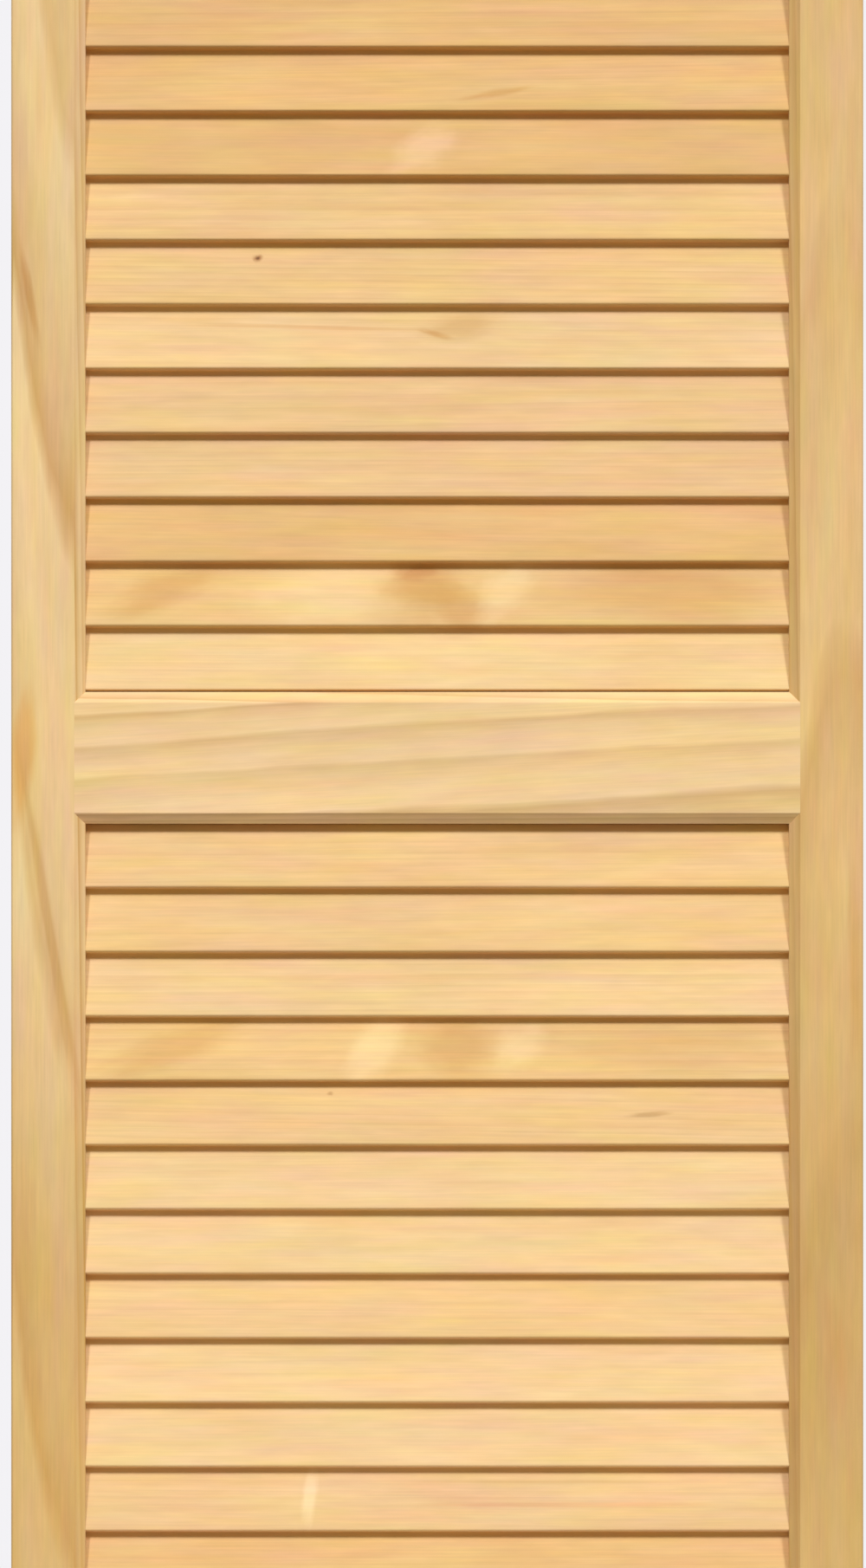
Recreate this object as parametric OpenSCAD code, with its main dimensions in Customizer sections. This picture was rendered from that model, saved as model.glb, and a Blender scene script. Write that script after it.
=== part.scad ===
// Fixed-louvre shutter panel in pine: two stiles, three rails and two fields of
// tilted slats, all in solid wood, put together with mortises and dowels.
// Millimetres. X runs across the panel, -Y is the front and +Z is up.
// The origin is the middle of the panel's bottom edge.

/* [Panel] */
// Width over both stiles
panel_w = 381; // [300:1:600]
// Height of the whole panel
panel_h = 1194; // [700:1:1500]
// Thickness of the stiles and rails
panel_t = 21; // [19:0.5:32]

/* [Stiles and rails] */
// Width of each stile, bevel included
stile_w = 33; // [30:0.5:60]
// Height of the top rail
top_rail_h = 59; // [50:1:120]
// Height of the middle rail
mid_rail_h = 59; // [50:1:120]
// Least height of the bottom rail, which also takes what is left over below the slats
bottom_rail_min = 80; // [60:1:120]
// Width and depth of the 45 degree bevel round each louvred field, on both faces
bevel = 4.8; // [2:0.1:5.6]
// Radius of the sanded outer edges
edge_round = 1.2; // [0.5:0.1:2]
// Radius of the sanded edges of the bevels
bevel_round = 0.4; // [0.2:0.1:0.8]

/* [Slats] */
// Width of a slat, from its front edge to its back edge
slat_w = 29.1; // [28.8:0.1:34]
// Thickness of a slat
slat_t = 5; // [4:0.5:6]
// Angle between a slat and the vertical, with its lower edge at the front
slat_tilt = 13; // [12:0.5:20]
// Height from one slat to the next
slat_pitch = 28.8; // [24:0.1:29.5]
// Radius of the slats' long edges
slat_round = 0.9; // [0.3:0.1:1.5]
// Length of each slat's end inside its stile
slat_tenon = 12; // [6:1:18]
// Clearance all round a slat in its mortise
slat_clear = 0.15; // [0.1:0.05:0.4]
// Clearance between the end of a slat and the bottom of its mortise
slat_end_clear = 0.5; // [0.2:0.1:1]
// Clearance between the outermost slats and the rails
slat_rail_gap = 0.05; // [0.05:0.05:1]

/* [Dowels] */
// Diameter of a dowel
dowel_d = 8; // [6:1:10]
// Length of a dowel
dowel_l = 40; // [30:1:60]
// Length of a dowel inside the stile
dowel_in_stile = 18; // [12:1:26]
// Distance from a rail's edge to the axis of the nearest dowel
dowel_inset = 18; // [14:1:22]
// Chamfer on the ends of a dowel
dowel_chamfer = 1; // [0.5:0.1:1.5]
// Clearance on the radius of a dowel hole
dowel_clear = 0.05; // [0.02:0.01:0.1]
// Clearance past each end of a dowel
dowel_end_clear = 1; // [0.5:0.1:2]

/* [Hidden] */
$fn = 48;
ease_steps = 4;
cut_margin = 1;

opening_w = panel_w - 2 * stile_w;
slat_l = opening_w + 2 * slat_tenon;

// Height of a tilted slat, over its rounded edges
slat_rise = (slat_w - 2 * slat_round) * cos(slat_tilt)
    + (slat_t - 2 * slat_round) * sin(slat_tilt)
    + 2 * slat_round;

// Height that the slats take, and how many whole pitches fit in each field
fields_h = panel_h - top_rail_h - mid_rail_h - bottom_rail_min;
slats_per_field = 1 + floor((fields_h / 2 - slat_rise - 2 * slat_rail_gap) / slat_pitch);
field_h = (slats_per_field - 1) * slat_pitch + slat_rise + 2 * slat_rail_gap;

mid_rail_z = panel_h - top_rail_h - field_h - mid_rail_h;
top_rail_z = panel_h - top_rail_h;
bottom_rail_h = mid_rail_z - field_h;
upper_field_z = mid_rail_z + mid_rail_h;
lower_field_z = bottom_rail_h;

// Each rail as [height of its lower edge, its own height]
rails = [[top_rail_z, top_rail_h], [mid_rail_z, mid_rail_h], [0, bottom_rail_h]];
dowel_heights = [
    for (rail = rails)
        for (z = [rail[0] + dowel_inset, rail[0] + rail[1] - dowel_inset]) z
];
slat_numbers = [1:slats_per_field];

function slat_name(field, number) = str(field, "_slat_", number < 10 ? "0" : "", number);

// ---- Outlines ----

function unit(v) = v / norm(v);

// The arc of radius r that takes the place of corner p, between its neighbours a and b
function eased_corner(a, p, b, r) =
    let (
        to_a = unit(a - p),
        to_b = unit(b - p),
        half_angle = acos(to_a * to_b) / 2,
        centre = p + unit(to_a + to_b) * r / sin(half_angle),
        first = p + to_a * r / tan(half_angle) - centre,
        last = p + to_b * r / tan(half_angle) - centre
    )
    [for (i = [0:ease_steps]) centre + r * unit(first * (ease_steps - i) + last * i)];

// A closed outline with each corner rounded by its own radius
function eased(points, radii) =
    let (count = len(points))
    [
        for (i = [0:count - 1])
            each eased_corner(
                points[(i + count - 1) % count], points[i], points[(i + 1) % count], radii[i]
            )
    ];

// Section of a stile seen from above: outer edge at x = 0, bevelled inner edge at x = stile_w
stile_plan = [
    [0, -panel_t / 2],
    [stile_w - bevel, -panel_t / 2],
    [stile_w, bevel - panel_t / 2],
    [stile_w, panel_t / 2 - bevel],
    [stile_w - bevel, panel_t / 2],
    [0, panel_t / 2]
];
stile_radii = [edge_round, bevel_round, bevel_round, bevel_round, bevel_round, edge_round];

// One long edge of a rail, seen from its end, from front to back: bevelled beside a louvred
// field, square along the outside of the panel. way is 1 for the upper edge, -1 for the lower.
function rail_edge(z, way, bevelled) = bevelled
    ? [
        [-panel_t / 2, z - way * bevel],
        [bevel - panel_t / 2, z],
        [panel_t / 2 - bevel, z],
        [panel_t / 2, z - way * bevel]
    ]
    : [[-panel_t / 2, z], [panel_t / 2, z]];

function rail_edge_radii(bevelled) = bevelled
    ? [for (i = [1:4]) bevel_round]
    : [edge_round, edge_round];

// Section of a slat about its own middle, grown by the clearance where it cuts a mortise
function slat_section(grow) =
    let (
        across = slat_t / 2 + grow,
        along = slat_w / 2 + grow
    )
    eased(
        [[-across, -along], [across, -along], [across, along], [-across, along]],
        [for (i = [1:4]) slat_round + grow]
    );

// ---- Shapes ----

// Extrudes a section drawn in the Y-Z plane along X, centred on x = 0
module along_x(length) {
    rotate([90, 0, 90]) linear_extrude(length, center = true) children();
}

// One slat, or the cut for it, at its height in the field that starts at field_z
module slat_body(field_z, number, length, grow) {
    centre_z = field_z + slat_rail_gap + slat_rise / 2 + (number - 1) * slat_pitch;
    translate([0, 0, centre_z])
        along_x(length)
            rotate(-slat_tilt) polygon(slat_section(grow));
}

// Cuts for every slat of both fields
module slat_mortises() {
    cut_length = slat_l + 2 * slat_end_clear;
    for (field_z = [upper_field_z, lower_field_z])
        for (i = slat_numbers)
            slat_body(field_z, i, cut_length, slat_clear);
}

// A round bar along X from x = 0, with chamfered ends
module peg(length, radius, chamfer) {
    rotate([0, 90, 0])
        rotate_extrude()
            polygon([
                [0, 0],
                [radius - chamfer, 0],
                [radius, chamfer],
                [radius, length - chamfer],
                [radius - chamfer, length],
                [0, length]
            ]);
}

// Places its children at every dowel of the left side, with x = 0 at the dowel's outer end
module at_left_dowels() {
    for (z = dowel_heights)
        translate([stile_w - dowel_in_stile - panel_w / 2, 0, z]) children();
}

module dowel_holes() {
    at_left_dowels()
        translate([-dowel_end_clear, 0, 0])
            rotate([0, 90, 0])
                cylinder(h = dowel_l + 2 * dowel_end_clear, r = dowel_d / 2 + dowel_clear);
}

// The space that the left stile fills, before any cut, between two heights
module left_stile_space(low, high, outline) {
    translate([-panel_w / 2, 0, low]) linear_extrude(high - low) polygon(outline);
}

module left_stile_body() {
    difference() {
        left_stile_space(0, panel_h, eased(stile_plan, stile_radii));
        slat_mortises();
        dowel_holes();
    }
}

// A rail between its lower edge z and upper edge z + height, with ends coped over the stiles
module rail(z, height, lower_bevelled, upper_bevelled) {
    upper_edge = rail_edge(z + height, 1, upper_bevelled);
    lower_edge = rail_edge(z, -1, lower_bevelled);
    front_to_back = upper_edge;
    back_to_front = [for (i = [len(lower_edge) - 1:-1:0]) lower_edge[i]];
    outline = concat(front_to_back, back_to_front);
    radii = concat(rail_edge_radii(upper_bevelled), rail_edge_radii(lower_bevelled));
    difference() {
        along_x(opening_w + 2 * bevel) polygon(eased(outline, radii));
        for (side = [0, 1])
            mirror([side, 0, 0]) {
                left_stile_space(z - cut_margin, z + height + cut_margin, stile_plan);
                dowel_holes();
            }
    }
}

// ---- Pieces ----

module left_stile() {
    color("#e0bb83") left_stile_body();
}

module right_stile() {
    color("#dbb47b") mirror([1, 0, 0]) left_stile_body();
}

module top_rail() {
    color("#efca96") rail(top_rail_z, top_rail_h, true, false);
}

module mid_rail() {
    color("#efca96") rail(mid_rail_z, mid_rail_h, true, true);
}

module bottom_rail() {
    color("#efca96") rail(0, bottom_rail_h, false, true);
}

module slat(field_z, number) {
    color("#f3c88f") slat_body(field_z, number, slat_l, 0);
}

module dowels() {
    color("#d9b98c")
        for (side = [0, 1])
            mirror([side, 0, 0])
                at_left_dowels() peg(dowel_l, dowel_d / 2, dowel_chamfer);
}

left_stile();
right_stile();
top_rail();
mid_rail();
bottom_rail();
for (i = slat_numbers)
    slat(upper_field_z, i);
for (i = slat_numbers)
    slat(lower_field_z, i);
dowels();
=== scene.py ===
# %% [markdown]
# # A louvred pine shutter
#
# The object is one panel of a window shutter in bare, planed pine: two upright stiles, three
# rails across them, and two fields of slats whose ends sit in slanted mortises. The construction
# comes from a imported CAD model, in metres, with X across the panel, -Y out of its front and Z up.
# This script gives that model its finish. It is read from top to bottom, one small cell at a time.

# %% Load the frame
import math

import bpy
import numpy as np
from mathutils import Euler, Matrix, Vector


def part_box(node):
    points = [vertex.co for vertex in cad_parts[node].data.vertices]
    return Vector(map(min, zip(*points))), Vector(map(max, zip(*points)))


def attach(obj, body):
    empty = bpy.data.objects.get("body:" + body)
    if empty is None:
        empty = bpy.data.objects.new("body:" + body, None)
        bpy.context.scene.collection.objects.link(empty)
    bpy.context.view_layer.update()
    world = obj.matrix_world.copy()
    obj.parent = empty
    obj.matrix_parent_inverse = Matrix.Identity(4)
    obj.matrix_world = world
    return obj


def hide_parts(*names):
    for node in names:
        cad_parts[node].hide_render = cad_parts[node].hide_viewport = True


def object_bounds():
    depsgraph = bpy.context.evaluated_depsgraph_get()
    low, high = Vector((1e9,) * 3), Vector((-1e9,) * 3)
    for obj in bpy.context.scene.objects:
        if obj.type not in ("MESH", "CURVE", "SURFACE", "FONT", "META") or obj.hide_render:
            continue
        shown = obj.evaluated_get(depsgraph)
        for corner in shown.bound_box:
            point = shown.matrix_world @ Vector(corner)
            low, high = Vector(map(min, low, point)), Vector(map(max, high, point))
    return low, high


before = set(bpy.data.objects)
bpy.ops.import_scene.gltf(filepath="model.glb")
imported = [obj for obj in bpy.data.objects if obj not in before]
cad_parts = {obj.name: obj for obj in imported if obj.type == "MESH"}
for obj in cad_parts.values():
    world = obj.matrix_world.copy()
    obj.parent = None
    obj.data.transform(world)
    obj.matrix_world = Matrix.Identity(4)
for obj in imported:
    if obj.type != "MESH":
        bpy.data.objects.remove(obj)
cad_box = [list(corner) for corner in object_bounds()]
print("CAD box:", cad_box)
print("nodes:", len(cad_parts))

# %% [markdown]
# The panel's width and the places of its rails and slats are read back from the CAD nodes' boxes.
# Three facts about a slat can't be read from a box, so they are named here: its thickness, its
# tilt and the radius of its edges. A leaning board fills a box whose height follows from these
# and from its width, so the width can be worked out from the box further down.

# %% Measure the panel
MM = 0.001

rail_low, rail_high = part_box("mid_rail")

panel_w = cad_box[1][0] - cad_box[0][0]
panel_front = cad_box[0][1]
rail_middle_z = (rail_low[2] + rail_high[2]) / 2

SLAT_T = 5 * MM        # thickness of a slat
SLAT_TILT = 13         # degrees from the vertical, lower edge at the front
SLAT_ROUND = 0.9 * MM  # radius of its sanded edges
SLAT_FIT = 0.04 * MM   # drawn onto each long edge, of the 0.05 mm left free beside a rail
slat_names = sorted(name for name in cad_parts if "_slat_" in name)
print("panel", round(panel_w, 4), "wide,", len(slat_names), "slats")

# %% [markdown]
# ## Colour
#
# Colours are written the way a paint chart gives them, as sRGB hex values. Blender's shaders
# work in linear light, so one function undoes the sRGB curve.

# %% Hex colours to linear light
def linear(hex_colour):
    """The sRGB curve undone: c / 12.92 below 0.04045, else ((c + 0.055) / 1.055) ** 2.4."""
    c = np.array([int(hex_colour[i:i + 2], 16) for i in (1, 3, 5)]) / 255
    rgb = np.where(c <= 0.04045, c / 12.92, ((c + 0.055) / 1.055) ** 2.4)
    return (*map(float, rgb), 1.0)


print("bare pine in linear light:", np.round(linear("#deb885"), 3))

# %% [markdown]
# ## A helper for shader nodes
#
# Every material below is a graph of nodes. This function adds any node: its own options come
# as keywords, and its sockets as a dictionary in which a value is either a constant or another
# node's output, which it links.

# %% Add one node
def add(tree, kind, sockets=(), **options):
    """A new node of this kind, with its options set and its sockets filled or linked."""
    node = tree.nodes.new(kind)
    for option, value in options.items():
        setattr(node, option, value)
    for socket, value in dict(sockets).items():
        if isinstance(value, bpy.types.NodeSocket):
            tree.links.new(value, node.inputs[socket])
        else:
            node.inputs[socket].default_value = value
    return node


# %% [markdown]
# ## Pine, planed and sanded
#
# Pine grows one ring a year: a pale, soft band of earlywood and a thin, harder, honey-brown line
# of latewood, which starts gradually and ends sharply. A board is a straight slice through those
# nested cylinders, so the figure on its face depends on where the heart of the tree lay. The
# material therefore keeps a whole virtual log: the distance from its heart gives the ring, and
# each board only says where in the log it was sawn. Cut well away from the heart it shows quiet
# parallel lines. Cut across the rings at a grazing angle it shows broad waves and arches.
#
# Board space, for every board: x runs along the grain, y through its thickness, and z across
# its face, all from the board's middle, in metres.

# %% Where a board was sawn
GRAIN_ALONG_X = Matrix.Identity(3)
GRAIN_ALONG_Z = Euler((0, math.radians(90), 0)).to_matrix()
GRAIN_ALONG_SLAT = Euler((math.radians(SLAT_TILT), 0, 0)).to_matrix()


def sawn(name, turn, heart, dive=0.0, wander=0.0, shift=0.0):
    """Rotation and location that take object space to log space, and the board's middle there.

    turn is the rotation into board space and heart the place (y, z) of the tree's heart seen
    from the middle of the board. The grain dives into the face by one small angle and wanders
    across it by another, in degrees. shift says how far up the trunk the board was cut."""
    lean = Euler((0, math.radians(wander), math.radians(dive))).to_matrix()
    rotation = lean @ turn
    low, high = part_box(name)
    middle = Vector((shift, -heart[0], -heart[1]))
    location = middle - rotation @ ((Vector(low) + Vector(high)) / 2)
    return rotation.to_euler(), location, middle


print("middle rail in its log:", sawn("mid_rail", GRAIN_ALONG_X, (0.05, 0.0))[2])

# %% [markdown]
# The rings are drawn from the distance to the heart, after the position has been pushed about by
# a slow noise, because no tree is a true cylinder. The noise is stretched along the grain: its
# waves are about 220 mm long and 50 mm wide. The profile of one ring climbs slowly from the pale
# earlywood to the brown latewood and drops back at once, where the winter was.

# %% The growth rings
RING_PUSH_WAVES = (4.5, 20, 20)   # waves in a metre along, through and across the board
CLIMATE_RUN = 14 * MM             # radius over which good years turn to bad ones
RING_LUCK = (0.45, 1.0)           # strength of the faintest ring and of the boldest one
RING_PROFILE = ((0.0, 0.0), (0.30, 0.08), (0.70, 0.55), (0.88, 1.0), (0.95, 0.5), (1.0, 0.0))


def growth_rings(tree, place, ring_width, waviness, unevenness):
    """Latewood share from 0 to 1: the fractional part of distance / ring_width goes through the
    ring's profile, and a random number for each whole ring makes some lines stronger. A noise
    along the radius crowds some years and spreads others, by unevenness rings at most."""
    slow = add(tree, "ShaderNodeVectorMath", {0: place, 1: RING_PUSH_WAVES},
               operation="MULTIPLY")
    noise = add(tree, "ShaderNodeTexNoise", {"Vector": slow.outputs[0], "Scale": 1, "Detail": 3})
    push = add(tree, "ShaderNodeVectorMath",
               {0: noise.outputs["Color"], 1: (0, 2 * waviness, 2 * waviness),
                2: (0, -waviness, -waviness)}, operation="MULTIPLY_ADD")
    pushed = add(tree, "ShaderNodeVectorMath", {0: place, 1: push.outputs[0]}, operation="ADD")
    across = add(tree, "ShaderNodeVectorMath", {0: pushed.outputs[0], 1: (0, 1, 1)},
                 operation="MULTIPLY")
    radius = add(tree, "ShaderNodeVectorMath", {0: across.outputs[0]}, operation="LENGTH")
    spread = add(tree, "ShaderNodeMath", {0: radius.outputs["Value"], 1: 1 / CLIMATE_RUN},
                 operation="MULTIPLY")
    climate = add(tree, "ShaderNodeTexNoise", {"W": spread.outputs[0], "Scale": 1, "Detail": 2},
                  noise_dimensions="1D")
    year = add(tree, "ShaderNodeMath", {0: radius.outputs["Value"], 1: 1 / ring_width},
               operation="MULTIPLY")
    year = add(tree, "ShaderNodeMath",
               {0: climate.outputs["Fac"], 1: unevenness, 2: year.outputs[0]},
               operation="MULTIPLY_ADD")
    share = add(tree, "ShaderNodeMath", {0: year.outputs[0]}, operation="FRACT")
    whole = add(tree, "ShaderNodeMath", {0: year.outputs[0]}, operation="FLOOR")
    ramp = add(tree, "ShaderNodeValToRGB", {"Fac": share.outputs[0]})
    for _ in range(len(RING_PROFILE) - 2):
        ramp.color_ramp.elements.new(0.5)
    for element, (position, level) in zip(ramp.color_ramp.elements, RING_PROFILE):
        element.position = position
        element.color = (level, level, level, 1)
    luck = add(tree, "ShaderNodeTexWhiteNoise", {"W": whole.outputs[0]}, noise_dimensions="1D")
    strength = add(tree, "ShaderNodeMapRange",
                   {"Value": luck.outputs["Value"], "To Min": RING_LUCK[0],
                    "To Max": RING_LUCK[1]})
    line = add(tree, "ShaderNodeMath", {0: ramp.outputs["Color"], 1: strength.outputs[0]},
               operation="MULTIPLY")
    return line.outputs[0]


# %% [markdown]
# Knots, streaks of resin and patches of curled grain are all the same thing to a shader: a soft
# oval somewhere on the board, long or short, straight or slanted. A Mapping node carries the
# place into the oval's own space, where its edge is the unit circle, and a noise makes that edge
# uneven. A pin knot is the foot of a twig, a millimetre across and seen end-on.

# %% A mark on a board
MARK_UNEVEN = 0.9    # how far the noise pushes a mark's edge, as a share of the mark's size
MARK_WAVES = 1.3     # waves of that noise from a mark's middle to its edge
MARK_VARIETY = 40    # how soon the noise changes from one place on the board to the next
MARK_CORE = 0.25     # share of the oval that keeps the full colour


def mark(tree, place, middle, along, across, slope, half_length, half_width):
    """1 at the mark's middle and 0 at its edge. along and across are metres from the board's
    middle, and slope is how much the mark's axis climbs across the board for its run along."""
    own = add(tree, "ShaderNodeMapping",
              {"Vector": place, "Location": middle + Vector((along, 0, across)),
               "Rotation": (0, -math.atan(slope), 0), "Scale": (half_length, 1.0, half_width)},
              vector_type="TEXTURE")
    flat = add(tree, "ShaderNodeVectorMath", {0: own.outputs[0], 1: (1, 0, 1)},
               operation="MULTIPLY")
    noise = add(tree, "ShaderNodeTexNoise",
                {"Vector": flat.outputs[0], "W": MARK_VARIETY * along, "Scale": MARK_WAVES,
                 "Detail": 3}, noise_dimensions="4D")
    uneven = add(tree, "ShaderNodeVectorMath",
                 {0: noise.outputs["Color"], 1: (MARK_UNEVEN, 0, MARK_UNEVEN), 2: flat.outputs[0]},
                 operation="MULTIPLY_ADD")
    centred = add(tree, "ShaderNodeVectorMath",
                  {0: uneven.outputs[0], 1: (MARK_UNEVEN / 2, 0, MARK_UNEVEN / 2)},
                  operation="SUBTRACT")
    far = add(tree, "ShaderNodeVectorMath", {0: centred.outputs[0]}, operation="LENGTH")
    mask = add(tree, "ShaderNodeMapRange",
               {"Value": far.outputs["Value"], "From Min": MARK_CORE, "From Max": 1.0,
                "To Min": 1, "To Max": 0}, interpolation_type="SMOOTHSTEP")
    return mask.outputs[0]


# %% [markdown]
# The whole material. Bare softwood is a dielectric with an IOR near 1.5 and no polish, so its
# roughness is high and its colour carries everything: rings, fibres, a blush between rosy and
# yellow wood, the darker heartwood that some boards run into, and the thirstier end grain. Bump
# adds the hard latewood lines, which sanding leaves a few hundredths of a millimetre proud, and
# the faint ripple of the planer, whose knives leave a scallop every 2 mm along the grain.
#
# The finest fibres, about 0.03 mm, are far below what a picture of a whole shutter can show. The
# ones drawn here are 0.7 mm wide and 40 mm long.

# %% The pine material
FIBRE_WAVES = (25, 1500, 1500)    # waves in a metre along, through and across the board
BLUSH_WAVES = (18, 130, 130)
CLOUD_WAVES = (9, 55, 55)
FLECK_WAVES = (55, 280, 280)
NOISE_REACH = (0.3, 0.7)          # nearly all values of a noise lie between these two
THREAD_SWING = (0.965, 1.03)      # how far fibres, clouds and flecks darken and lighten
CLOUD_SWING = (0.955, 1.045)
FLECK_SWING = (0.97, 1.03)
BLUSH = (0.08, 0.27, 0.56)        # how far red, green and blue swing between rosy and yellow
BLUSH_BASE = tuple(1 - swing / 2 for swing in BLUSH)
END_GRAIN = 0.74                  # light that end grain gives back, as a share of the face's
END_GRAIN_TURN = (0.6, 0.95)      # facing along the grain: where it starts and where it is full
PLANER_PITCH = 2 * MM             # between two scallops of the planer's knives
PLANER_SHARE = 0.05               # height of a scallop, as a share of the latewood's
FIBRE_SHARE = 0.6                 # and that of a fibre
RELIEF = 0.05 * MM                # height of the latewood lines
ROUGHNESS = (0.64, 0.52)          # of earlywood and of latewood


def pine(name, board, early, late, ring_width=3 * MM, contrast=0.3, waviness=0.8 * MM,
         unevenness=0.0, heartwood=None, marks=()):
    """Planed and sanded pine. board comes from sawn(), early and late are its two colours, and
    heartwood is a third with the two places along the board between which it takes over. Each
    mark is its own place and shape, then its colour and its strength."""
    material = bpy.data.materials.new(name)
    material.use_nodes = True
    tree = material.node_tree
    tree.nodes.clear()
    rotation, location, middle = board
    coords = add(tree, "ShaderNodeTexCoord")
    place = add(tree, "ShaderNodeMapping",
                {"Vector": coords.outputs["Object"], "Location": location, "Rotation": rotation},
                vector_type="POINT").outputs["Vector"]

    def noise(scale, detail):
        """Noise whose waves are 1 / scale metres long along, through and across the board."""
        spread = add(tree, "ShaderNodeVectorMath", {0: place, 1: scale}, operation="MULTIPLY")
        return add(tree, "ShaderNodeTexNoise",
                   {"Vector": spread.outputs[0], "Scale": 1, "Detail": detail})

    def sway(value, swing):
        """A factor that follows a noise from one end of its swing to the other."""
        return add(tree, "ShaderNodeMapRange",
                   {"Value": value, "From Min": NOISE_REACH[0], "From Max": NOISE_REACH[1],
                    "To Min": swing[0], "To Max": swing[1]}).outputs[0]

    def towards(wood, colour, share):
        """The wood's colour mixed towards another one."""
        return add(tree, "ShaderNodeMix", {0: share, 6: wood, 7: linear(colour)},
                   data_type="RGBA").outputs[2]

    lateness = growth_rings(tree, place, ring_width, waviness, unevenness)
    fibre = noise(FIBRE_WAVES, 2).outputs["Fac"]
    blush = noise(BLUSH_WAVES, 3).outputs["Color"]
    cloud = noise(CLOUD_WAVES, 2).outputs["Fac"]
    fleck = noise(FLECK_WAVES, 2).outputs["Fac"]

    wood = linear(early)
    if heartwood:
        colour, start, end = heartwood
        run = add(tree, "ShaderNodeVectorMath", {0: place, 1: (1, 0, 0)}, operation="DOT_PRODUCT")
        reach = add(tree, "ShaderNodeMapRange",
                    {"Value": run.outputs["Value"], "From Min": start + middle.x,
                     "From Max": end + middle.x}, interpolation_type="SMOOTHSTEP")
        wood = towards(wood, colour, reach.outputs[0])
    ring_share = add(tree, "ShaderNodeMath", {0: lateness, 1: contrast}, operation="MULTIPLY")
    wood = towards(wood, late, ring_share.outputs[0])
    for *shape, colour, strength in marks:
        seen = add(tree, "ShaderNodeMath",
                   {0: mark(tree, place, middle, *shape), 1: strength}, operation="MULTIPLY")
        wood = towards(wood, colour, seen.outputs[0])
    tint = add(tree, "ShaderNodeVectorMath", {0: blush, 1: BLUSH, 2: BLUSH_BASE},
               operation="MULTIPLY_ADD")
    wood = add(tree, "ShaderNodeVectorMath", {0: wood, 1: tint.outputs[0]},
               operation="MULTIPLY").outputs[0]

    value = add(tree, "ShaderNodeMath",
                {0: sway(cloud, CLOUD_SWING), 1: sway(fibre, THREAD_SWING)},
                operation="MULTIPLY")
    value = add(tree, "ShaderNodeMath", {0: value.outputs[0], 1: sway(fleck, FLECK_SWING)},
                operation="MULTIPLY")
    turned = add(tree, "ShaderNodeVectorRotate",
                 {"Vector": coords.outputs["Normal"], "Rotation": rotation},
                 rotation_type="EULER_XYZ")
    facing = add(tree, "ShaderNodeVectorMath", {0: turned.outputs[0], 1: (1, 0, 0)},
                 operation="DOT_PRODUCT")
    end_on = add(tree, "ShaderNodeMath", {0: facing.outputs["Value"]}, operation="ABSOLUTE")
    end_grain = add(tree, "ShaderNodeMapRange",
                    {"Value": end_on.outputs[0], "From Min": END_GRAIN_TURN[0],
                     "From Max": END_GRAIN_TURN[1], "To Min": 1, "To Max": END_GRAIN})
    value = add(tree, "ShaderNodeMath", {0: value.outputs[0], 1: end_grain.outputs[0]},
                operation="MULTIPLY")
    wood = add(tree, "ShaderNodeVectorMath", {0: wood, "Scale": value.outputs[0]},
               operation="SCALE").outputs[0]

    run = add(tree, "ShaderNodeVectorMath", {0: place, 1: (2 * math.pi / PLANER_PITCH, 0, 0)},
              operation="DOT_PRODUCT")
    scallop = add(tree, "ShaderNodeMath", {0: run.outputs["Value"]}, operation="SINE")
    relief = add(tree, "ShaderNodeMath", {0: fibre, 1: FIBRE_SHARE, 2: lateness},
                 operation="MULTIPLY_ADD")
    relief = add(tree, "ShaderNodeMath",
                 {0: scallop.outputs[0], 1: PLANER_SHARE, 2: relief.outputs[0]},
                 operation="MULTIPLY_ADD")
    bump = add(tree, "ShaderNodeBump", {"Strength": 0.5, "Distance": RELIEF,
                                        "Height": relief.outputs[0]})
    gloss = add(tree, "ShaderNodeMapRange",
                {"Value": lateness, "To Min": ROUGHNESS[0], "To Max": ROUGHNESS[1]})
    surface = add(tree, "ShaderNodeBsdfPrincipled",
                  {"Base Color": wood, "Roughness": gloss.outputs[0], "IOR": 1.5,
                   "Specular IOR Level": 0.25, "Normal": bump.outputs[0]})
    add(tree, "ShaderNodeOutputMaterial", {"Surface": surface.outputs[0]})
    return material


# %% [markdown]
# ## The frame's boards
#
# The stiles and rails keep their CAD shape, because it is right: straight boards with a 45 degree
# bevel, sanded arrises, mortises and coped ends. They only get their wood. The grain of a stile
# runs up it and that of a rail runs across, which is what makes the joints readable.
#
# Both stiles were flat-sawn from trunks that leaned a little, so their face cuts a ring only
# every 200 mm. Each ring crosses the stile as a long slanting band, which darkens slowly and ends
# in a sharp line. The dive is the angle that does it: a 3 mm ring met at 0.8 degrees is spread
# over 3 / sin 0.8 = 215 mm. Towards the bottom both boards run into tanner heartwood.
#
# The rails are the palest boards. The middle one's rings meet its face at about 11 degrees, which
# shows as soft lines 16 mm apart, and they climb to the right by 3 degrees.

# %% Wood for stiles and rails
def dress(name, material):
    """Gives a CAD node its material."""
    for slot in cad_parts[name].material_slots:
        slot.material = material


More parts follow.
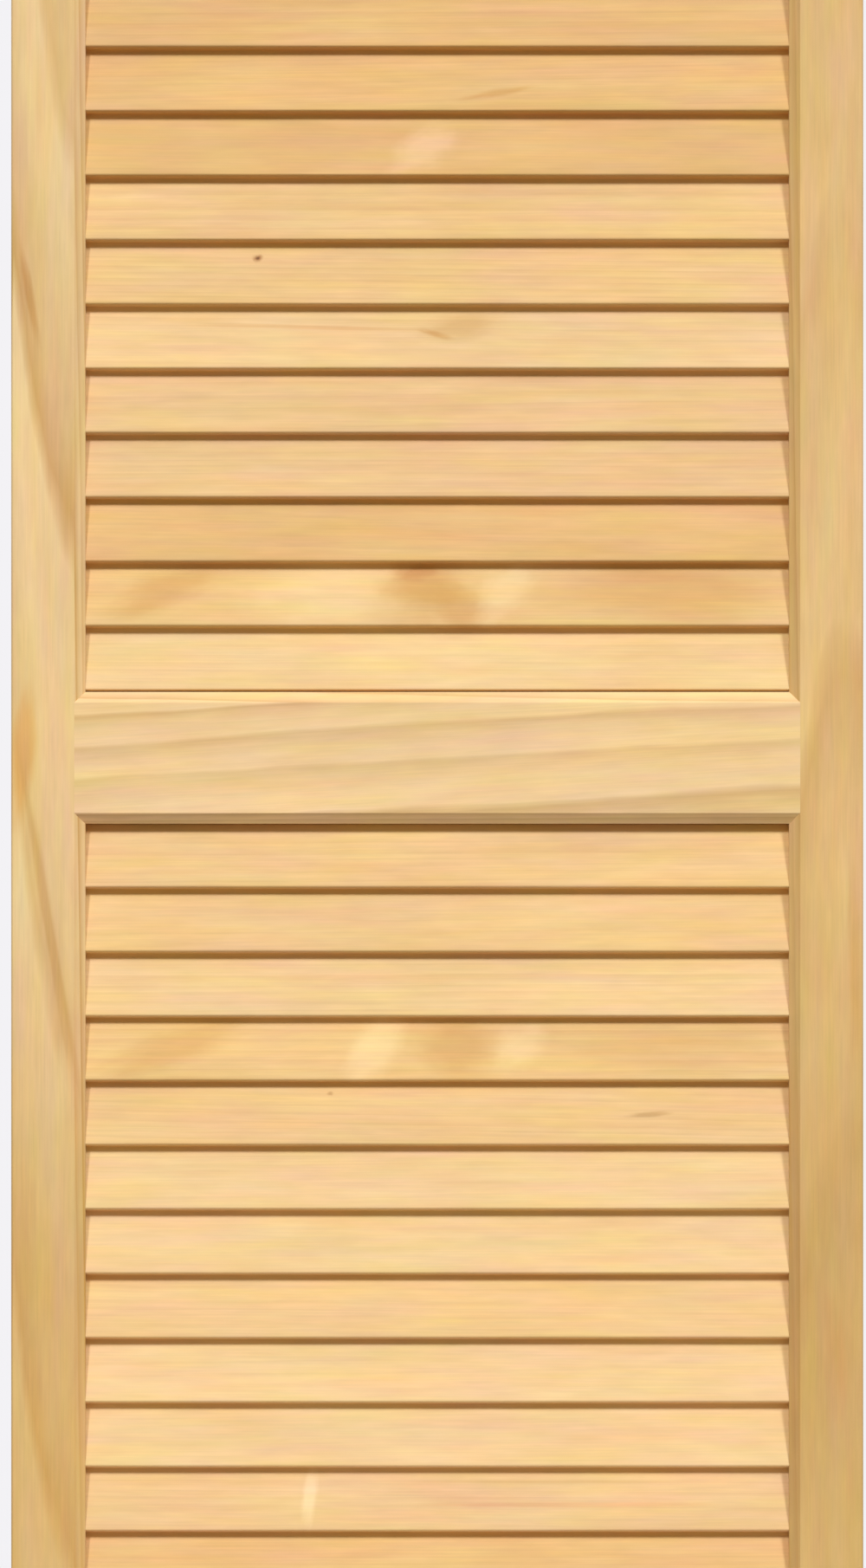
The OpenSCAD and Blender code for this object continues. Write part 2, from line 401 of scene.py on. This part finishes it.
dress("left_stile", pine(
    "pine_planed_left_stile",
    sawn("left_stile", GRAIN_ALONG_Z, (0.2994, -0.0211), dive=0.807),
    "#edc991", "#bf8530", contrast=0.68, waviness=0.9 * MM,
    heartwood=("#d9b173", -0.02, -0.24),
    marks=[(0.226, 0.0085, 0.16, 30 * MM, 3.0 * MM, "#c0853c", 0.55),
           (0.020, 0.0110, -0.10, 40 * MM, 7.0 * MM, "#dd9c48", 0.60),
           (-0.065, -0.002, 0.17, 95 * MM, 3.6 * MM, "#c08b3f", 0.45)]))
dress("right_stile", pine(
    "pine_planed_right_stile",
    sawn("right_stile", GRAIN_ALONG_Z, (0.2973, -0.012), dive=-0.86, shift=2.1),
    "#e6bd80", "#bb8438", contrast=0.42, waviness=0.9 * MM,
    heartwood=("#d0a768", 0.02, -0.22),
    marks=[(-0.075, -0.013, 0.02, 55 * MM, 4.5 * MM, "#d49a55", 0.50),
           (0.250, -0.012, 0.0, 90 * MM, 5.0 * MM, "#e8b47c", 0.45),
           (-0.250, -0.004, 0.02, 40 * MM, 6.0 * MM, "#d09553", 0.40)]))
for name, heart, wander, shift in (
        ("top_rail", (0.29, 0.046), 1.4, 3.1),
        ("mid_rail", (0.295, -0.0563), 3.0, 4.4),
        ("bottom_rail", (0.28, 0.066), -1.8, 6.2)):
    dress(name, pine(
        f"pine_planed_{name}",
        sawn(name, GRAIN_ALONG_X, heart, wander=wander, shift=shift),
        "#f4cd97", "#bf9454", contrast=0.58, waviness=1.6 * MM, unevenness=1.0))
print("stiles and rails dressed")

# %% [markdown]
# ## Slats
#
# A slat is a thin board, planed on both faces and sanded along its edges. Its section is a
# rectangle with rounded corners, which a straight sweep along X turns into the whole piece. The
# surface is worked out as one array: the section's outline is a function of the angle-like
# parameter v, the place along the slat is u, and both together give every point at once. Real
# slats are never quite flat, so each one bows and cups by about a tenth of a millimetre. The bow
# fades out towards the mortises, which hold the ends true. Each edge is drawn a hair wider than
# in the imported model, so that no daylight shows between the outermost slats and the rails.

# %% The slat's surface
CORNER_STEPS, FACE_STEPS = 5, 8   # of the section's rounded corners and of its long faces
SLAT_RINGS = 49                   # sections along one slat
BOW, CUP = 0.12, 0.10             # mm at most, along and across a slat
WAVE, WAVE_TURNS = (0.02, 0.05), (6, 11)   # mm, and radians from the middle to one end
HELD = 0.15                       # share of the half-length over which a mortise's hold fades


def slat_outline(across, along, radius, corner_steps, face_steps):
    """Points of a rounded rectangle, anticlockwise, as columns (depth, height). Each corner is a
    quarter circle of corner_steps steps, and each long face has face_steps extra points."""
    turn = np.linspace(0, np.pi / 2, corner_steps + 1)
    corners = []
    for quarter, (sy, sz) in enumerate(((1, 1), (-1, 1), (-1, -1), (1, -1))):
        angle = turn + quarter * np.pi / 2
        centre = np.array([sy * (across - radius), sz * (along - radius)])
        corners.append(centre + radius * np.column_stack([np.cos(angle), np.sin(angle)]))
    share = np.linspace(0, 1, face_steps + 2)[1:-1, None]
    back_face = corners[3][-1] * (1 - share) + corners[0][0] * share
    front_face = corners[1][-1] * (1 - share) + corners[2][0] * share
    return np.concatenate([corners[0], corners[1], front_face, corners[2], corners[3], back_face])


def slat_surface(name, seed):
    """A slat as a grid of points: outline(v) carried along x(u), tilted and set in its place."""
    low, high = (np.array(corner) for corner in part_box(name))
    middle, half_length = (low + high) / 2, (high[0] - low[0]) / 2
    tilt = math.radians(SLAT_TILT)
    eased = 2 * SLAT_ROUND * (math.sin(tilt) + math.cos(tilt) - 1)
    width = (high[2] - low[2] + eased - SLAT_T * math.sin(tilt)) / math.cos(tilt) + 2 * SLAT_FIT
    outline = slat_outline(SLAT_T / 2, width / 2, SLAT_ROUND, CORNER_STEPS, FACE_STEPS)
    u = np.linspace(-1, 1, SLAT_RINGS)
    random = np.random.default_rng(seed)
    hold = np.clip((1 - np.abs(u)) / HELD, 0, 1) ** 2
    bow = random.uniform(-BOW, BOW) * MM * hold * np.cos(u * np.pi / 2)
    wave = random.uniform(*WAVE) * MM * hold * np.sin(u * random.uniform(*WAVE_TURNS) + seed)
    cup = random.uniform(-CUP, CUP) * MM
    depth, height = outline[None, :, 0], outline[None, :, 1]
    depth = depth + (bow + wave)[:, None] + cup * hold[:, None] * (1 - (2 * height / width) ** 2)
    height = np.broadcast_to(height, depth.shape)
    y = depth * math.cos(tilt) + height * math.sin(tilt) + middle[1]
    z = height * math.cos(tilt) - depth * math.sin(tilt) + middle[2]
    x = np.broadcast_to(u[:, None] * half_length + middle[0], y.shape)
    return np.stack([x, y, z], axis=2)


def closed_tube(name, points):
    """A mesh from a grid of points, rings along the first axis, closed round the second and with
    a flat cap at each end."""
    rings, around = points.shape[:2]
    ring = np.arange(rings - 1)[:, None] * around
    here, there = np.arange(around), np.roll(np.arange(around), -1)
    quads = np.stack([ring + here, ring + there, ring + around + there, ring + around + here],
                     axis=2)
    first_cap = np.arange(around)[::-1]
    last_cap = np.arange(around) + (rings - 1) * around
    faces = [*quads.reshape(-1, 4).tolist(), first_cap.tolist(), last_cap.tolist()]
    mesh = bpy.data.meshes.new(name)
    mesh.from_pydata(points.reshape(-1, 3).tolist(), [], faces)
    mesh.validate()
    smooth = np.ones(len(mesh.polygons), bool)
    smooth[-2:] = False
    mesh.polygons.foreach_set("use_smooth", smooth)
    piece = bpy.data.objects.new(name, mesh)
    bpy.context.scene.collection.objects.link(piece)
    return piece


sample = slat_surface("upper_slat_01", 1)
print("one slat:", sample.shape, "spans", np.round(np.ptp(sample.reshape(-1, 3), axis=0), 4))

# %% [markdown]
# Slats are sawn from mixed boards, so their tones differ: deep or common honey, biscuit, two
# creams and a rosier one. Each string below gives one letter to each slat of a field, from the
# lowest up.
#
# Eight slats carry something to remember them by. One has a pin knot. Two come from beside a
# branch, where the grain curls and the colour swings from cream to tan. The others have small
# streaks of resin and pale or darker patches. Each mark is written as its place along and across
# the slat in metres, its slope, its half length and half width, its colour and its strength.

# %% Slat tones and marks
TONES = {
    "a": ("#e3b577", "#bb823e"),    # deep honey
    "b": ("#e8be80", "#c18b48"),    # biscuit
    "c": ("#eac085", "#c59251"),    # honey, the commonest
    "d": ("#e7bd86", "#c28c54"),    # rosy
    "e": ("#ecc58d", "#c89858"),    # cream
    "f": ("#eec88e", "#ca9c5c"),    # pale cream
}
TONE_OF = {"upper": "fbaddeccaaacbcdab", "lower": "bcadcadeeceecbecc"}
CURL = "#cf9650"
PALE = "#fcdca2"
MARKS = {
    "upper_slat_07": [(-0.0805, 0.0059, 0.0, 3.0 * MM, 2.4 * MM, "#a86f38", 0.8),
                      (-0.0805, 0.0059, 0.0, 1.3 * MM, 1.1 * MM, "#6d4220", 0.8)],
    "upper_slat_02": [(-0.122, 0.001, 0.40, 34 * MM, 13 * MM, CURL, 0.50),
                      (-0.048, 0.0, 0.0, 44 * MM, 28 * MM, PALE, 0.40),
                      (-0.006, 0.004, 0.0, 22 * MM, 22 * MM, CURL, 0.62),
                      (0.010, -0.006, -0.5, 24 * MM, 12 * MM, CURL, 0.50),
                      (-0.010, 0.009, 0.2, 12 * MM, 5 * MM, "#c07f44", 0.45),
                      (0.031, 0.002, 1.2, 24 * MM, 13 * MM, PALE, 0.45),
                      (0.106, 0.003, 0.0, 75 * MM, 24 * MM, CURL, 0.50)],
    "lower_slat_14": [(-0.118, 0.001, 0.35, 42 * MM, 12 * MM, CURL, 0.45),
                      (-0.029, 0.0, 1.4, 26 * MM, 14 * MM, PALE, 0.45),
                      (0.008, 0.001, -0.35, 30 * MM, 19 * MM, CURL, 0.52),
                      (0.037, 0.001, 0.8, 18 * MM, 13 * MM, PALE, 0.40),
                      (0.110, 0.003, 0.0, 75 * MM, 22 * MM, CURL, 0.22)],
    "lower_slat_13": [(-0.048, 0.008, 0.0, 2.0 * MM, 1.2 * MM, "#b07c45", 0.5),
                      (0.095, 0.0, 0.08, 13 * MM, 1.8 * MM, "#b98b4e", 0.55)],
    "upper_slat_10": [(0.027, -0.0066, 0.15, 21 * MM, 2.4 * MM, CURL, 0.60)],
    "upper_slat_09": [(-0.006, -0.003, 0.6, 20 * MM, 13 * MM, "#ffd4a6", 0.40)],
    "upper_slat_06": [(0.010, 0.0046, 0.1, 26 * MM, 8 * MM, "#d3a562", 0.50),
                      (-0.001, 0.001, -0.3, 10 * MM, 2.2 * MM, CURL, 0.60),
                      (-0.062, 0.004, -0.02, 64 * MM, 1.5 * MM, "#d9a667", 0.50)],
    "lower_slat_07": [(-0.057, 0.001, 8.0, 17 * MM, 4.5 * MM, "#ffe0b0", 0.42),
                      (0.060, -0.003, 0.0, 92 * MM, 1.8 * MM, "#dfa26c", 0.50),
                      (0.050, 0.0075, 0.0, 80 * MM, 1.5 * MM, "#d5a867", 0.45)],
}

# %% Make the slats
HEART_AWAY = (0.06, 0.16)     # metres from a slat's middle to the heart of its tree
HEART_ANGLE = (-1.3, 1.3)     # radians round the slat, where 0 is straight behind its face
DIVE, WANDER = (-0.6, 0.6), (-0.7, 0.7)   # degrees
RING_WIDTH = (2.4, 3.8)       # mm
RING_CONTRAST = (0.12, 0.28)
TRUNK_STEP = 0.37             # metres of trunk between one slat's wood and the next one's

slats = {}
for number, name in enumerate(slat_names):
    field, place_in_field = name.split("_")[0], int(name.split("_")[2])
    early, late = TONES[TONE_OF[field][place_in_field - 1]]
    random = np.random.default_rng(100 + number)
    piece = closed_tube(f"{name}_planed", slat_surface(name, number))
    away, angle = random.uniform(*HEART_AWAY), random.uniform(*HEART_ANGLE)
    heart = (float(away * math.cos(angle)), float(away * math.sin(angle)))
    board = sawn(name, GRAIN_ALONG_SLAT, heart, dive=float(random.uniform(*DIVE)),
                 wander=float(random.uniform(*WANDER)), shift=TRUNK_STEP * number)
    piece.data.materials.append(pine(
        f"pine_planed_{name}", board, early, late,
        ring_width=float(random.uniform(*RING_WIDTH)) * MM, waviness=1.1 * MM, unevenness=3.0,
        contrast=float(random.uniform(*RING_CONTRAST)), marks=MARKS.get(name, ())))
    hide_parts(name)
    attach(piece, "root")
    slats[name] = piece
print(len(slats), "slats made,", sum(len(p.data.polygons) for p in slats.values()), "faces")

# %% [markdown]
# ## Dowels
#
# The beech dowels are glued inside the joints, where nobody sees them once the panel is together.
# They keep their CAD shape and get a plain, close-grained wood, for when the panel is taken apart.

# %% Beech dowels
dress("dowels", pine(
    "beech_turned_dowels",
    sawn("dowels", GRAIN_ALONG_X, (0.2, 0.1), shift=1.0),
    "#d2ab80", "#b98a62", ring_width=2 * MM, contrast=0.2, waviness=0.3 * MM))

# %% [markdown]
# ## Floor, light and camera
#
# A small pale floor that fades into the background, two soft lamps in front of the panel and a
# weaker pair behind it. The lamps are suns with a wide angle, which is a quick way to get the
# even light of big studio softboxes. They stand high enough to catch the upper bevels and to put
# a narrow shadow under each slat. The room gives the rest: warm light, weaker from below.

# %% Floor
FLOOR_FADE = (0.22, 0.60)   # radii in metres between which the floor fades away
RIM_POINTS = 96
turn = np.linspace(0, 2 * np.pi, RIM_POINTS + 1)[:-1]
rim = FLOOR_FADE[1] * np.column_stack([np.cos(turn), np.sin(turn), 0 * turn])
floor_mesh = bpy.data.meshes.new("floor")
floor_mesh.from_pydata(rim.tolist(), [], [list(range(len(turn)))])
floor = bpy.data.objects.new("floor", floor_mesh)
bpy.context.scene.collection.objects.link(floor)
paper = bpy.data.materials.new("paper_matt_floor")
paper.use_nodes = True
tree = paper.node_tree
tree.nodes.clear()
matt = add(tree, "ShaderNodeBsdfPrincipled", {"Base Color": linear("#e0e1ea"), "Roughness": 0.9})
clear = add(tree, "ShaderNodeBsdfTransparent")
coords = add(tree, "ShaderNodeTexCoord")
away = add(tree, "ShaderNodeVectorMath", {0: coords.outputs["Object"]}, operation="LENGTH")
rim_share = add(tree, "ShaderNodeMapRange",
                {"Value": away.outputs["Value"], "From Min": FLOOR_FADE[0],
                 "From Max": FLOOR_FADE[1]}, interpolation_type="SMOOTHSTEP")
mixed = add(tree, "ShaderNodeMixShader",
            {0: rim_share.outputs[0], 1: matt.outputs[0], 2: clear.outputs[0]})
add(tree, "ShaderNodeOutputMaterial", {"Surface": mixed.outputs[0]})
floor_mesh.materials.append(paper)

# %% Lamps
LAMP_COLOUR = (0.93, 0.99, 1.10)


def lamp(name, azimuth, elevation, strength, angle=14):
    """A soft sun. Azimuth 0 shines from the front, 90 from the right; degrees throughout."""
    light = bpy.data.lights.new(name, "SUN")
    light.energy = strength
    light.color = LAMP_COLOUR
    light.angle = math.radians(angle)
    shown = bpy.data.objects.new(name, light)
    a, e = math.radians(azimuth), math.radians(elevation)
    towards = Vector((math.sin(a) * math.cos(e), -math.cos(a) * math.cos(e), math.sin(e)))
    shown.rotation_euler = towards.to_track_quat("Z", "Y").to_euler()
    bpy.context.scene.collection.objects.link(shown)


lamp("key", 30, 33, 1.62)
lamp("fill", -18, 33, 1.43, angle=8)
lamp("back_left", 150, 25, 0.9, angle=25)
lamp("back_right", -150, 25, 0.9, angle=25)

# %% Background
ROOM_COLOUR = (0.97, 0.88, 0.58, 1)
ROOM_GLOW = (0.13, 0.45)   # strength of the light from below and from above
HORIZON = 0.15             # sine of the height by which the one has turned to the other

world = bpy.data.worlds.new("studio")
world.use_nodes = True
bpy.context.scene.world = world
sky = world.node_tree
sky.nodes.clear()
seen = add(sky, "ShaderNodeBackground", {"Color": linear("#f3f2f5"), "Strength": 1.0})
coords = add(sky, "ShaderNodeTexCoord")
height = add(sky, "ShaderNodeVectorMath", {0: coords.outputs["Generated"], 1: (0, 0, 1)},
             operation="DOT_PRODUCT")
glow = add(sky, "ShaderNodeMapRange",
           {"Value": height.outputs["Value"], "From Min": -HORIZON, "From Max": HORIZON,
            "To Min": ROOM_GLOW[0], "To Max": ROOM_GLOW[1]})
room = add(sky, "ShaderNodeBackground", {"Color": ROOM_COLOUR, "Strength": glow.outputs[0]})
rays = add(sky, "ShaderNodeLightPath")
both = add(sky, "ShaderNodeMixShader",
           {0: rays.outputs["Is Camera Ray"], 1: room.outputs[0], 2: seen.outputs[0]})
add(sky, "ShaderNodeOutputWorld", {"Surface": both.outputs[0]})
bpy.context.scene.view_settings.view_transform = "Standard"

# %% [markdown]
# The camera looks straight at the middle of the panel through a long lens, so that the slats at
# the top and bottom of the picture are seen at the same angle as those in the middle. The panel
# fills 98.4 % of the picture's width. The picture is 1000 wide and 1810 high, and its long side
# is the one that the sensor's width measures.

# %% Camera
PICTURE_W, PICTURE_H = 1000, 1810
PANEL_SHARE = 0.984
EYE_ASIDE, EYE_UP = -1.9 * MM, -11.7 * MM   # from the middle of the middle rail
distance = 4.0
window_h = panel_w / PANEL_SHARE * PICTURE_H / PICTURE_W
camera = bpy.data.cameras.new("camera")
camera.lens = camera.sensor_width * distance / window_h
eye = bpy.data.objects.new("camera", camera)
eye.location = (EYE_ASIDE, panel_front - distance, rail_middle_z + EYE_UP)
eye.rotation_euler = (math.radians(90), 0, 0)
bpy.context.scene.collection.objects.link(eye)
bpy.context.scene.camera = eye
print("window", round(window_h, 4), "m high, lens", round(camera.lens, 1), "mm")
